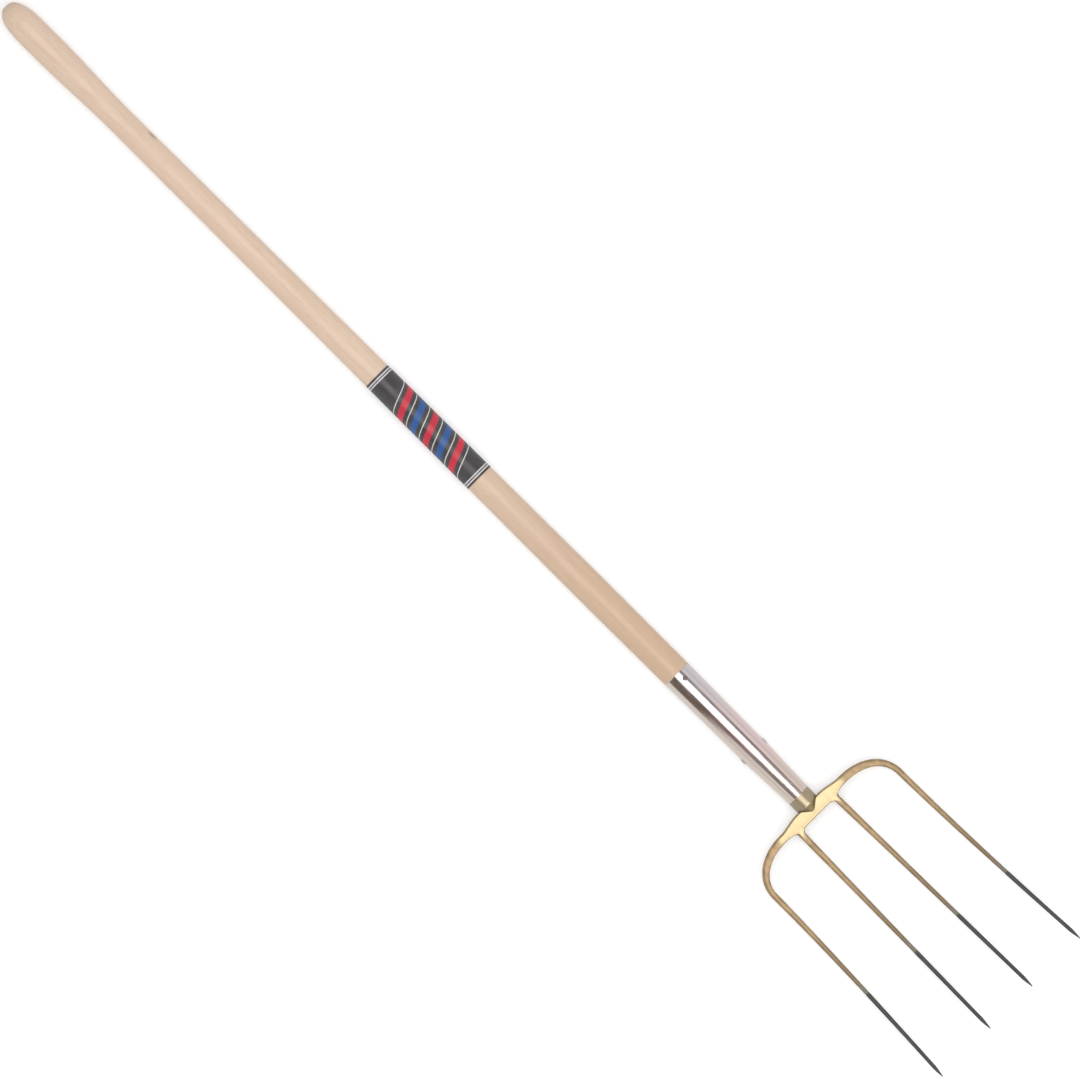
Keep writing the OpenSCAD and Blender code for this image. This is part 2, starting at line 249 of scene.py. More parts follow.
def joined(piece, operation, *others):
    """Welds other pieces to a piece, or cuts them out of it, and deletes them."""
    for other in others:
        modifier = piece.modifiers.new("join", "BOOLEAN")
        modifier.operation = operation
        modifier.solver = "EXACT"
        modifier.object = other
    finished(piece)
    for other in others:
        bpy.data.objects.remove(other)


def colour(red, green, blue):
    """A colour as a picture shows it, 0 to 255, turned into light."""
    def light(c):
        c /= 255
        return c / 12.92 if c <= 0.04045 else ((c + 0.055) / 1.055) ** 2.4
    return (light(red), light(green), light(blue), 1)


def material(name):
    """A new material with its node tree, its shader and the place on the piece in metres."""
    made = bpy.data.materials.new(name)
    made.use_nodes = True
    tree = made.node_tree
    return made, tree, tree.nodes["Principled BSDF"], node(tree, "ShaderNodeTexCoord").outputs["Object"]


def axes(tree, place):
    """X, Y and Z of a place or a direction."""
    return node(tree, "ShaderNodeSeparateXYZ", {0: place}).outputs


def noise_at(tree, place, scale, detail):
    """Noise between 0 and 1, with a scale in waves per metre along each axis."""
    spread = node(tree, "ShaderNodeMapping", {"Vector": place, "Scale": scale}).outputs[0]
    return node(tree, "ShaderNodeTexNoise", {"Vector": spread, "Scale": 1.0, "Detail": detail}).outputs[0]


def ranged(tree, value, low, high, start=0.0, end=1.0):
    """Takes a value from one range to another, eased and held at both ends."""
    return node(
        tree, "ShaderNodeMapRange", {0: value, 1: low, 2: high, 3: start, 4: end},
        interpolation_type="SMOOTHSTEP",
    ).outputs[0]


def blended(tree, share, first, second):
    """Blends two colours."""
    return node(tree, "ShaderNodeMix", {0: share, 6: first, 7: second}, data_type="RGBA").outputs[2]


def surfaced(tree, shader, tone, rough, metallic):
    """Gives the surface its colour and its roughness, and the shine of metal where it is metal."""
    tree.links.new(tone, shader.inputs["Base Color"])
    tree.links.new(rough, shader.inputs["Roughness"])
    shader.inputs["Metallic"].default_value = metallic


def embossed(tree, shader, height, strength, depth):
    """Gives the surface a fine relief, where a height of 1 stands out by the depth."""
    relief = {"Height": height, "Strength": strength, "Distance": depth}
    tree.links.new(node(tree, "ShaderNodeBump", relief).outputs[0], shader.inputs["Normal"])


ash, tree, shader, place = material("ash")
heart_offset, heart_tilt = (0.0, 0.016, 0.034), (0.0, 0.014, 0.022)
pale_until, warm_from = -0.30, 0.27
ash_at_grip, ash_at_head = colour(221, 195, 173), colour(203, 173, 146)
cloud_tone, late_tone = colour(207, 174, 145), colour(192, 155, 122)
pore_tone, bruise_tone = colour(170, 132, 100), colour(132, 104, 92)
cloud_share, late_share, pore_share, bruise_share = 0.35, 0.12, 0.30, 0.62
from_heart = node(
    tree, "ShaderNodeMapping", {"Vector": place, "Location": heart_offset, "Rotation": heart_tilt},
).outputs[0]
rings = node(
    tree, "ShaderNodeTexWave",
    {"Vector": from_heart, "Scale": 125.0, "Distortion": 8.0, "Detail": 2.0, "Detail Scale": 0.03},
    wave_type="RINGS", rings_direction="X", wave_profile="SAW",
).outputs["Fac"]
late_growth, ring_end = ranged(tree, rings, 0.45, 0.92), ranged(tree, rings, 0.94, 1.0, 1.0, 0.0)
late_wood = maths(tree, "MULTIPLY", late_growth, ring_end)
fibres = noise_at(tree, place, (14.0, 620.0, 620.0), 4.0)
pores = ranged(tree, noise_at(tree, place, (95.0, 2300.0, 2300.0), 1.0), 0.60, 0.72)
clouds = noise_at(tree, place, (5.0, 45.0, 45.0), 2.0)
tone = blended(tree, ranged(tree, axes(tree, place)["X"], pale_until, warm_from), ash_at_grip, ash_at_head)
tone = blended(tree, ranged(tree, clouds, 0.40, 0.75, 0.0, cloud_share), tone, cloud_tone)
tone = blended(tree, maths(tree, "MULTIPLY", late_wood, late_share), tone, late_tone)
tone = blended(tree, maths(tree, "MULTIPLY", pores, pore_share), tone, pore_tone)
from_bruise = node(
    tree, "ShaderNodeMapping",
    {
        "Vector": place, "Location": [-m / h for m, h in zip(bruise_middle, bruise_half)],
        "Scale": [1 / h for h in bruise_half],
    },
).outputs[0]
off_bruise = node(tree, "ShaderNodeVectorMath", {0: from_bruise}, operation="LENGTH").outputs["Value"]
tone = blended(tree, ranged(tree, off_bruise, 0.2, 1.0, bruise_share, 0.0), tone, bruise_tone)
streaks = ranged(tree, fibres, 0.25, 0.75, 0.96, 1.04)
tone = node(tree, "ShaderNodeHueSaturation", {"Value": streaks, "Color": tone}).outputs[0]
surfaced(tree, shader, tone, ranged(tree, fibres, 0.2, 0.8, 0.36, 0.52), metallic=0.0)
shader.inputs["Coat Weight"].default_value = 0.08
shader.inputs["Coat Roughness"].default_value = 0.3
shader.inputs["Sheen Weight"].default_value = 0.16
shader.inputs["Sheen Roughness"].default_value = 0.4
raised_fibres = maths(tree, "SUBTRACT", maths(tree, "MULTIPLY", fibres, 0.6), pores)
embossed(tree, shader, raised_fibres, strength=0.35, depth=0.00015)

grip_bend = 2 / grip_power
grip_stations = [
    on_axis(grip_round * (1 - max(math.cos(a), 0) ** grip_bend), grip_r * math.sin(a) ** grip_bend)
    for a in quarter_turn(grip_steps)
]
shaft_count = round((rim_at - grip_round) / shaft_step)
shaft_stations = [on_axis(d, shaft_r(d)) for d in evenly(grip_round, rim_at, shaft_count)[1:]]
nose_stations = [on_axis(d, ferrule_r(d) - under_ferrule) for d in (rim_at + rim_gap, cone_at, handle_len)]
handle = swept(
    "ash_handle", grip_stations + shaft_stations + nose_stations, ash, shaft_sides,
    waviness=0.00012, wave_length=0.05, seed=3,
)


def tang(name, gap, start):
    """The square tang, from inside the neck to its end in the wood."""
    stations = []
    for d, half in ((start, tang_half), (0, tang_half), (-tang_len - gap, tang_end_half)):
        middle, across, up = on_axis(handle_len + d, 0)[:3]
        stations.append((middle, across, up, half + gap, half + gap, tang_power))
    return swept(name, stations, ash, sides=48)


joined(handle, "DIFFERENCE", tang("tang_hole", tang_gap, hole_overrun))
for corner in handle.data.vertices:
    near = 1 - sum(((c - m) / h) ** 2 for c, m, h in zip(corner.co, bruise_middle, bruise_half))
    if near > 0:
        outward = Vector((0, corner.co.y, corner.co.z - axis_z)).normalized()
        corner.co -= outward * bruise_depth * near * near
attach(handle, "root")
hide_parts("handle")

# Head: one steel forging with tang, neck, crossbar, shoulders and four dished tines. The crossbar and the
# outer tines are one bent run, and the inner tines run into the face of the bar with filed roots. The steel
# is bright under clear gold lacquer, ground smooth on the bar and left as forged on the tines.
neck_len, neck_round, neck_nose_r, tang_in_neck = 0.023, 0.0125, 0.0035, 0.004
bar_x = shoulder + neck_len
plate_w, bar_w, bar_t, web_len = 0.0178, 0.0102, 0.009, 0.028
neck_tip = neck_len + plate_w / 4
shoulder_len, shoulder_w, tine_len = 0.042, 0.054, 0.3245
outer_y, outer_point_y, inner_y, inner_point_y = 0.1025, 0.113, 0.029, 0.0345
outer_splay, inner_splay = outer_point_y - outer_y, inner_point_y - inner_y
tine_w, tine_end_w, point_len, point_w = 0.0086, 0.0043, 0.014, 0.0008
root_fillet, root_len = 0.0055, 0.030
arm_at, arm_fade = 0.036, 0.012
bend_power, bar_power, arm_power, root_power, tine_power = 2.15, 4.5, 3.0, 4.0, 2.2
taper_power, point_power, splay_power = 1.8, 1.25, 1.5
belly_share, depth_share, root_edge_share, root_depth_share = 0.4, 1.2, 0.95, 0.985
shoulder_share, point_share = shoulder_len / tine_len, 1 - point_len / tine_len
bar_steps, shoulder_steps, fillet_steps, root_steps, neck_steps = 36, 48, 30, 16, 20
shank_steps, point_steps, tine_sides = 190, 18, 40


def tine_width(v):
    """Width of a tine at a share of its length, with its sharpened point."""
    shank = mix(tine_end_w, tine_w, (1 - min(v, point_share)) ** taper_power)
    if v <= point_share:
        return shank
    return mix(shank, point_w, ((v - point_share) / (1 - point_share)) ** point_power)


belly_drop = axis_z - tine_width(belly_share) * depth_share / 2


def in_dish(x, y, heading, width, depth, power):
    """A station of a bar in the dish, from its place and heading in plan and the sizes of its section."""
    share = (x - bar_x) / tine_len / belly_share
    slope = belly_drop / (tine_len * belly_share) * (2 * share - 2)
    up = Vector((-slope, 0, 1)).normalized()
    ahead = Vector((heading[0], heading[1], slope * heading[0])).normalized()
    height = axis_z + belly_drop * (share * share - 2 * share)
    return (Vector((x, y, height)), up.cross(ahead), up, width / 2, depth / 2, power)


def outer_station(v):
    """A station of an outer tine at a share of its length."""
    t, w = (v - shoulder_share) / (1 - shoulder_share), tine_width(v)
    heading = (tine_len - shoulder_len, outer_splay * splay_power * t ** (splay_power - 1))
    y = outer_y + outer_splay * t ** splay_power
    return in_dish(bar_x + v * tine_len, y, heading, w, w * depth_share, tine_power)


def inner_station(v):
    """A station of an inner tine at a share of its length."""
    w, y = tine_width(v), inner_y + inner_splay * v
    return in_dish(bar_x + v * tine_len, y, (tine_len, inner_splay), w, w * depth_share, tine_power)


def bar_width(y):
    """Width of the crossbar, from the plate in its middle to its arms."""
    return mix(plate_w, bar_w, ease((y - inner_y - tine_w / 2) / web_len + 0.5))


def bar_station(y):
    """A station of the crossbar, from its flat middle to its rounder arms."""
    power = mix(bar_power, arm_power, ease((y - arm_at) / arm_fade))
    return in_dish(bar_x, y, (0, 1), bar_width(y), bar_t, power)


def shoulder_station(a):
    """A station of the bend between the crossbar and an outer tine, at an angle of its turn."""
    t, w, bend = ease(a / (math.pi / 2)), tine_width(shoulder_share), 2 / bend_power
    c, s = max(math.cos(a), 0), max(math.sin(a), 0)
    return in_dish(
        bar_x + shoulder_len * (1 - c ** bend), outer_y - shoulder_w + shoulder_w * s ** bend,
        (shoulder_len * s ** (2 - bend), shoulder_w * c ** (2 - bend)),
        mix(bar_w, w, t), mix(bar_t, w * depth_share, t), mix(arm_power, tine_power, t),
    )


def flank_edge(flank):
    """Half width of the bar beside a flank of an inner tine: 1 is its outer flank, -1 its inner one."""
    return bar_width(inner_y + flank * (tine_w / 2 + root_fillet)) / 2 * root_edge_share


root_start, fillet_end = flank_edge(1), flank_edge(-1) + root_fillet


def fillet_reach(flank, from_bar):
    """How far the fillet widens a flank of the root at a distance from the middle of the bar."""
    rise = root_fillet - min(max(from_bar - flank_edge(flank), 0), root_fillet)
    return root_fillet - math.sqrt(root_fillet ** 2 - rise ** 2)


def root_station(from_bar):
    """A station of an inner tine's root, about as deep as the bar at its start."""
    v, t = from_bar / tine_len, ease((from_bar - root_start) / (root_len - root_start))
    w, outward, inward = tine_width(v), fillet_reach(1, from_bar), fillet_reach(-1, from_bar)
    y = inner_y + inner_splay * v + (outward - inward) / 2
    return in_dish(
        bar_x + from_bar, y, (tine_len, inner_splay), w + outward + inward,
        mix(bar_t * root_depth_share, w * depth_share, t), mix(root_power, tine_power, t),
    )


def other_side(stations):
    """The stations across the middle line of the tool, in the opposite order."""
    flip = Vector((1, -1, 1))
    return [(m * flip, a * flip, u * flip, w, d, p) for m, a, u, w, d, p in reversed(stations)]


def tine_shares(start):
    """Shares of a tine's length: even steps along the shank, then closer ones in the point."""
    return evenly(start, point_share, shank_steps)[:-1] + evenly(point_share, 1, point_steps)


dip_len, dip_slope = 0.120, 0.065
dip_edge = bar_x + tine_len - dip_len
mist_start, mist_full = dip_edge - 0.024, dip_edge - 0.006
ground_end, forged_start = bar_x + 0.007, bar_x + 0.024
ground_reach, forged_reach, ground_shift = 0.042, 0.060, 0.003
neck_full, neck_end = bar_x - 0.012, bar_x - 0.006
darkening_start, darkening_full, darkening_share, pit_share = bar_x + 0.06, bar_x + 0.19, 0.7, 0.35
forged_dark, forged_light, forged_pit = colour(160, 138, 107), colour(190, 165, 129), colour(116, 94, 66)
ground_dark, ground_light = colour(157, 140, 107), colour(163, 147, 114)
neck_tone, darkening_tone, mist_tone = colour(172, 157, 131), colour(122, 107, 87), colour(135, 128, 117)
ground_rough, neck_rough = 0.24, 0.41
gold, tree, shader, place = material("gold_lacquer_on_steel")
along, beside = axes(tree, place)[:2]
from_middle = maths(tree, "ABSOLUTE", maths(tree, "ADD", beside, ground_shift))
ground_face = maths(
    tree, "MULTIPLY", ranged(tree, along, ground_end, forged_start, 1.0, 0.0),
    ranged(tree, from_middle, ground_reach, forged_reach, 1.0, 0.0),
)
on_neck = ranged(tree, along, neck_full, neck_end, 1.0, 0.0)
scale_marks = noise_at(tree, place, (70.0, 160.0, 160.0), 4.0)
fine_marks = noise_at(tree, place, (260.0, 900.0, 900.0), 2.0)
tone = blended(tree, ranged(tree, scale_marks, 0.35, 0.68), forged_dark, forged_light)
tone = blended(tree, ranged(tree, fine_marks, 0.55, 0.75, 0.0, pit_share), tone, forged_pit)
# The tines are painted darker from a little past the bar towards their points.
tone = blended(tree, ranged(tree, along, darkening_start, darkening_full, 0.0, darkening_share), tone, darkening_tone)
ground_tone = blended(tree, ranged(tree, scale_marks, 0.3, 0.7), ground_dark, ground_light)
tone = blended(tree, ground_face, tone, ground_tone)
tone = blended(tree, on_neck, tone, neck_tone)
from_dip = maths(tree, "SUBTRACT", along, maths(tree, "MULTIPLY", beside, dip_slope))
spatter = ranged(tree, fine_marks, 0.3, 0.6, 0.55, 1.0)
mist = maths(tree, "MULTIPLY", ranged(tree, from_dip, mist_start, mist_full), spatter)
tone = blended(tree, mist, tone, mist_tone)
rough = ranged(tree, scale_marks, 0.3, 0.7, 0.60, 0.72)
rough = ranged(tree, ground_face, 0.0, 1.0, rough, ground_rough)
rough = ranged(tree, on_neck, 0.0, 1.0, rough, neck_rough)
surfaced(tree, shader, tone, rough, metallic=1.0)
shader.inputs["Coat Weight"].default_value = 0.10
shader.inputs["Coat Roughness"].default_value = 0.30
smooth_parts = maths(tree, "MAXIMUM", ground_face, on_neck)
embossed(tree, shader, scale_marks, strength=ranged(tree, smooth_parts, 0.0, 1.0, 0.22, 0.03), depth=0.0004)

outer_half = (
    [bar_station(y) for y in evenly(0, outer_y - shoulder_w, bar_steps)[:-1]]
    + [shoulder_station(a) for a in quarter_turn(shoulder_steps)[:-1]]
    + [outer_station(v) for v in tine_shares(shoulder_share)]
)
inner_run = (
    [root_station(0)]
    + [root_station(d) for d in evenly(root_start, fillet_end, fillet_steps)[:-1]]
    + [root_station(d) for d in evenly(fillet_end, root_len, root_steps)[:-1]]
    + [inner_station(v) for v in tine_shares(root_len / tine_len)]
)
neck_stations = [on_axis(handle_len, end_r)] + [
    on_axis(handle_len + mix(neck_round, neck_tip, t), mix(end_r, neck_nose_r, ease(t)))
    for t in evenly(0, 1, neck_steps)
]
forging = {"finish": gold, "sides": tine_sides, "waviness": 0.00010, "wave_length": 0.011}
head = swept("forged_head", other_side(outer_half)[:-1] + outer_half, seed=5, **forging)
inner_left = swept("inner_left", inner_run, seed=6, **forging)
inner_right = swept("inner_right", other_side(inner_run), seed=7, **forging)
neck = swept("neck", neck_stations, gold, sides=80, waviness=0.00006, wave_length=0.008, seed=8)
joined(head, "UNION", inner_left, inner_right, neck, tang("tang", 0, tang_in_neck))

filed_from, filed_to, filed_beside = 0.002, 0.020, 0.016
from_fade, to_fade, beside_fade = 0.003, 0.006, 0.004
seams = head.vertex_groups.new(name="dressed_roots")
for corner in head.data.vertices:
    ahead, off_tine = corner.co.x - bar_x, abs(abs(corner.co.y) - inner_y)
    share = ease((ahead - filed_from) / from_fade) * ease((filed_to - ahead) / to_fade)
    share *= ease((filed_beside - off_tine) / beside_fade)
    if share > 0:
        seams.add([corner.index], share, "REPLACE")
filing = head.modifiers.new("filed_roots", "SMOOTH")
filing.vertex_group = seams.name
filing.factor = 0.5
filing.iterations = 14
finished(head)
head.data.materials.clear()
head.data.materials.append(gold)
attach(head, "root")
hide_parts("head")

# Tip coats: each tine is dipped in black paint for about a third of its length, so that its point does not
# rust. The paint is a thin skin that starts feathered at the dip line, which slopes a little across the
# head, and closes over the point.
dip_t, skin_t, feather_len = 0.0002, 0.00015, 0.005
feather_share, cap_share, cap_end_share = 0.15, 0.7, 0.95
black, tree, shader, place = material("black_dip_paint")
blotches = noise_at(tree, place, (60.0, 240.0, 240.0), 4.0)
tone = blended(tree, ranged(tree, blotches, 0.35, 0.7), colour(46, 46, 44), colour(62, 61, 59))
surfaced(tree, shader, tone, ranged(tree, blotches, 0.3, 0.7, 0.34, 0.5), metallic=0.0)
embossed(tree, shader, blotches, strength=0.2, depth=0.0002)


def coat_stations(station, point_y):
    """Stations of a coat: a feathered start, an even skin and a closed end just past the tine's point."""
    start = 1 - (dip_len - dip_slope * point_y) / tine_len
    stations = []
    for v in tine_shares(start):
        m, a, u, w, d, p = station(v)
        grow = dip_t * ease((v - start) * tine_len / feather_len + feather_share)
        stations.append((m, a, u, w + grow, d + grow, p))
    m, a, u, w, d, p = stations[-1]
    ahead = a.cross(u).normalized()
    stations.append((m + ahead * dip_t * cap_share, a, u, w * cap_share, d * cap_share, p))
    stations.append((m + ahead * dip_t * cap_end_share, a, u, 0.0, 0.0, p))
    return stations


def thickened(piece, thickness):
    """Gives an open skin a thickness towards its inside."""
    shell = piece.modifiers.new("shell", "SOLIDIFY")
    shell.thickness = thickness
    shell.offset = -1
    finished(piece)


for side, name, station, point_y, seed in (
    (1, "tip_coat_left_outer", outer_station, outer_point_y, 11),
    (1, "tip_coat_left_inner", inner_station, inner_point_y, 12),
    (-1, "tip_coat_right_inner", inner_station, -inner_point_y, 13),
    (-1, "tip_coat_right_outer", outer_station, -outer_point_y, 14),
):
    stations = coat_stations(station, point_y)
    if side < 0:
        stations = other_side(stations)
    coat = swept(
        "painted_" + name, stations, black, tine_sides, closed=False,
        waviness=0.00006, wave_length=0.006, seed=seed,
    )
    thickened(coat, skin_t)
    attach(coat, "root")
    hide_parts(name)

# Ferrule: a tapered steel tube, drawn on over the nose of the handle until its rim is level with the wood.
# It is nickel plated and bright, with its rim and end broken so that they do not cut.
ferrule_wall, edge_break, edge_steps, ferrule_steps = 0.0012, 0.0004, 5, 60
half_wall, past_edge = ferrule_wall / 2, edge_break * 2
cool_end, pink_start = shoulder - 0.185, shoulder - 0.105
pink_end, tan_start = shoulder - 0.090, shoulder - 0.030
painted_reflection_edge, painted_reflection_end, painted_reflection_share, smear_drift = -0.016, -0.004, 0.8, 0.12
cool_nickel, pink_nickel = colour(207, 200, 202), colour(221, 201, 199)
tan_nickel, painted_reflection_tone = colour(217, 201, 192), colour(217, 206, 194)
nickel, tree, shader, place = material("bright_nickel")
along, beside = axes(tree, place)[:2]
drawn_lines = noise_at(tree, place, (9.0, 700.0, 700.0), 3.0)
smears = noise_at(tree, place, (24.0, 60.0, 60.0), 3.0)
wander = maths(tree, "MULTIPLY", maths(tree, "SUBTRACT", smears, 0.5), smear_drift)
drift = maths(tree, "ADD", along, wander)
tone = blended(tree, ranged(tree, drift, cool_end, pink_start), cool_nickel, pink_nickel)
tone = blended(tree, ranged(tree, drift, pink_end, tan_start), tone, tan_nickel)
# Painted reflection: the flank of the ferrule towards -Y gets a paler, warmer tone for the warm light it
# mirrors on that side.
tone = blended(tree, ranged(tree, beside, painted_reflection_edge, painted_reflection_end, painted_reflection_share, 0.0), tone, painted_reflection_tone)
surfaced(tree, shader, tone, ranged(tree, smears, 0.3, 0.75, 0.17, 0.27), metallic=1.0)
embossed(tree, shader, drawn_lines, strength=0.06, depth=0.0001)
ferrule_stations = [on_axis(rim_at, rim_r - half_wall)]
ferrule_stations += [
    on_axis(rim_at + edge_break * (1 - math.cos(a)), rim_r - edge_break * (1 - math.sin(a)))
    for a in quarter_turn(edge_steps)
]
ferrule_stations += [
    on_axis(d, ferrule_r(d)) for d in evenly(rim_at + past_edge, handle_len - past_edge, ferrule_steps)
]
ferrule_stations += [
    on_axis(handle_len - edge_break * (1 - math.sin(a)), end_r - edge_break * (1 - math.cos(a)))
    for a in quarter_turn(edge_steps)
]
ferrule = swept("nickel_ferrule", ferrule_stations, nickel, sides=128, closed=False)
thickened(ferrule, half_wall)
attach(ferrule, "root")
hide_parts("ferrule")

# Cross rivet: one plain steel pin through the ferrule, the wood and the tang. It holds the head in the
# handle and is closed at both sides with a low round head, hammered down on the ferrule.
rivet_low, rivet_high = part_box("cross_rivet")
rivet_x, rivet_reach = (rivet_low.x + rivet_high.x) / 2, rivet_high.y
rivet_head_r, rivet_head_h, rivet_r, rivet_neck, rivet_steps = 0.0055, 0.0022, 0.0025, 0.0004, 14
steel, tree, shader, place = material("plain_steel")
hammering = noise_at(tree, place, (260.0, 260.0, 260.0), 2.0)
tone = blended(tree, ranged(tree, hammering, 0.35, 0.7), colour(178, 173, 170), colour(194, 189, 185))
surfaced(tree, shader, tone, ranged(tree, hammering, 0.3, 0.7, 0.28, 0.36), metallic=1.0)
embossed(tree, shader, hammering, strength=0.03, depth=0.0003)


def across_tool(y, r):
    """A round station on the rivet's axis."""
    return (Vector((rivet_x, y, axis_z)), Vector((1, 0, 0)), Vector((0, 0, 1)), r, r, 2)


rivet_half = [
    across_tool(rivet_reach - rivet_head_h * (1 - math.cos(a)), rivet_head_r * math.sin(a))
    for a in quarter_turn(rivet_steps)
]
under_head = rivet_reach - rivet_head_h
rivet_half += [across_tool(under_head, rivet_r + rivet_neck), across_tool(under_head - rivet_neck, rivet_r)]
rivet = swept("cross_rivet_steel", rivet_half + other_side(rivet_half), steel, sides=64)
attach(rivet, "root")
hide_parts("cross_rivet")

# Ferrule nail: a small nail of dark blued steel near the rim of the ferrule, a little to one side of its
# face. It is driven through the tube into the wood, so that the ferrule cannot turn.
nail_from_rim, nail_turn, nail_steps = 0.010, math.radians(11), 8
nail_head_r, nail_head_h, nail_head_sink = 0.003, 0.0009, 0.0004
nail_r, nail_len, nail_point_len, nail_shank_top = 0.0013, 0.0105, 0.003, 0.0005
brim_share, crown_share = 0.35, 0.72
nail_x, nail_seat = grip_end + rim_at + nail_from_rim, ferrule_r(rim_at + nail_from_rim)
nail_up = Vector((0, math.sin(nail_turn), math.cos(nail_turn)))
nail_across = Vector((0, math.cos(nail_turn), -math.sin(nail_turn)))
blued, tree, shader, place = material("blued_steel")
film = noise_at(tree, place, (700.0, 700.0, 700.0), 3.0)
tone = blended(tree, ranged(tree, film, 0.35, 0.7), colour(92, 86, 84), colour(122, 115, 111))
surfaced(tree, shader, tone, ranged(tree, film, 0.3, 0.7, 0.34, 0.5), metallic=1.0)


def on_nail(height, r):
    """A round station on the nail's axis, at a height above its seat on the ferrule."""
    middle = Vector((nail_x, 0, axis_z)) + nail_up * (nail_seat + height)
    return (middle, Vector((1, 0, 0)), nail_across, r, r, 2)


nail_stations = [
    on_nail(-nail_len, 0.0), on_nail(-nail_len + nail_point_len, nail_r),
    on_nail(-nail_shank_top, nail_r), on_nail(-nail_head_sink, nail_head_r),
]
nail_stations += [
    on_nail(nail_head_h * mix(brim_share, 1, math.sin(a)), nail_head_r * mix(crown_share, 1, math.cos(a)))
    for a in quarter_turn(nail_steps)[:-1]
]
nail_stations.append(on_nail(nail_head_h, 0.0))
nail = swept("ferrule_nail_steel", nail_stations, blued, sides=48)
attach(nail, "root")
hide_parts("ferrule_nail")

# Label: a printed film wrapped round the middle of the handle, dark grey with slanting red and blue bands
# between thin pale lines, and two pale rings at each end. It is thin and follows the taper of the wood.
label_at, label_len, label_t, film_share, label_steps = 0.609, 0.168, 0.00025, 0.9, 60
label_mid = grip_end + label_at + label_len / 2
band_pitch, bands_per_turn, band_share, bands_middle, bands_reach = 0.021, 2, 0.42, 0.22, 2.6
line_middle, line_half = 0.71, 0.03
ring_places, ring_half = (0.0775, 0.0805), 0.0008
film_tone, worn_tone, pale_tone = colour(57, 53, 54), colour(67, 63, 64), colour(206, 203, 204)
red_tone, blue_tone = colour(193, 40, 62), colour(38, 84, 146)


def within(tree, value, middle, half):
    """1 where a value is less than half a width from a middle, otherwise 0."""
    return maths(tree, "LESS_THAN", maths(tree, "ABSOLUTE", maths(tree, "SUBTRACT", value, middle)), half)


printed, tree, shader, place = material("printed_film")
along, beside, above = axes(tree, place)
from_mid = maths(tree, "SUBTRACT", along, label_mid)
turn = maths(tree, "ARCTAN2", beside, maths(tree, "SUBTRACT", above, axis_z))
slant = maths(
    tree, "ADD", maths(tree, "MULTIPLY", from_mid, 1 / band_pitch),
    maths(tree, "MULTIPLY", turn, bands_per_turn / (2 * math.pi)),
)
in_pitch = maths(tree, "FRACT", slant)
every_other = maths(tree, "GREATER_THAN", maths(tree, "FRACT", maths(tree, "MULTIPLY", slant, 0.5)), 0.5)
middle_zone = within(tree, slant, bands_middle, bands_reach)
band = maths(tree, "MULTIPLY", middle_zone, maths(tree, "LESS_THAN", in_pitch, band_share))
line = maths(tree, "MULTIPLY", middle_zone, within(tree, in_pitch, line_middle, line_half))
wear = noise_at(tree, place, (60.0, 60.0, 60.0), 4.0)
tone = blended(tree, ranged(tree, wear, 0.35, 0.7), film_tone, worn_tone)
tone = blended(tree, band, tone, blended(tree, every_other, red_tone, blue_tone))
tone = blended(tree, line, tone, pale_tone)
for ring_at in ring_places:
    ring = within(tree, maths(tree, "ABSOLUTE", from_mid), ring_at, ring_half)
    tone = blended(tree, ring, tone, pale_tone)
surfaced(tree, shader, tone, ranged(tree, wear, 0.3, 0.7, 0.34, 0.48), metallic=0.0)
embossed(tree, shader, wear, strength=0.08, depth=0.0003)
label_stations = [
    on_axis(d, shaft_r(d) + label_t) for d in evenly(label_at, label_at + label_len, label_steps)
]
label = swept("printed_label", label_stations, printed, shaft_sides, closed=False)
thickened(label, label_t * film_share)
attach(label, "root")
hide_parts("label")

# Floor: a plain sheet of white paper that the tool lies on. The camera and bright metal see it white, and
# it keeps a soft shadow of the tool.
floor_reach, floor_z, near_floor, far_floor = 30.0, -0.0004, 1.0, 4.0
paper_tone, near_light, far_light, mirror_share = (0.70, 0.70, 0.70, 1), 0.38, 0.76, 0.5
floor_mesh = bpy.data.meshes.new("floor")
floor_mesh.from_pydata(
    [(x * floor_reach, y * floor_reach, floor_z) for x, y in ((-1, -1), (1, -1), (1, 1), (-1, 1))],
    [], [(0, 1, 2, 3)],
)
floor = placed("floor", floor_mesh)


def bare_material(name):
    """A new material with an empty node tree."""
    made = bpy.data.materials.new(name)
    made.use_nodes = True
    made.node_tree.nodes.clear()
    return made, made.node_tree


paper, tree = bare_material("white_paper")
rays = node(tree, "ShaderNodeLightPath").outputs
sheet = node(tree, "ShaderNodeBsdfDiffuse", {"Color": paper_tone}).outputs[0]
floor_place = node(tree, "ShaderNodeTexCoord").outputs["Object"]
away = node(tree, "ShaderNodeVectorMath", {0: floor_place}, operation="LENGTH").outputs["Value"]
mirrored = maths(tree, "MAXIMUM", rays["Is Glossy Ray"], rays["Is Transmission Ray"])
seen = maths(tree, "ADD", rays["Is Camera Ray"], maths(tree, "MULTIPLY", mirrored, mirror_share))
floor_light = ranged(tree, away, near_floor, far_floor, near_light, far_light)
paper_light = maths(tree, "MULTIPLY", seen, floor_light)
glow = node(tree, "ShaderNodeEmission", {"Strength": paper_light}).outputs[0]
surface = node(tree, "ShaderNodeAddShader", {0: sheet, 1: glow}).outputs[0]
node(tree, "ShaderNodeOutputMaterial", {"Surface": surface})
floor_mesh.materials.append(paper)

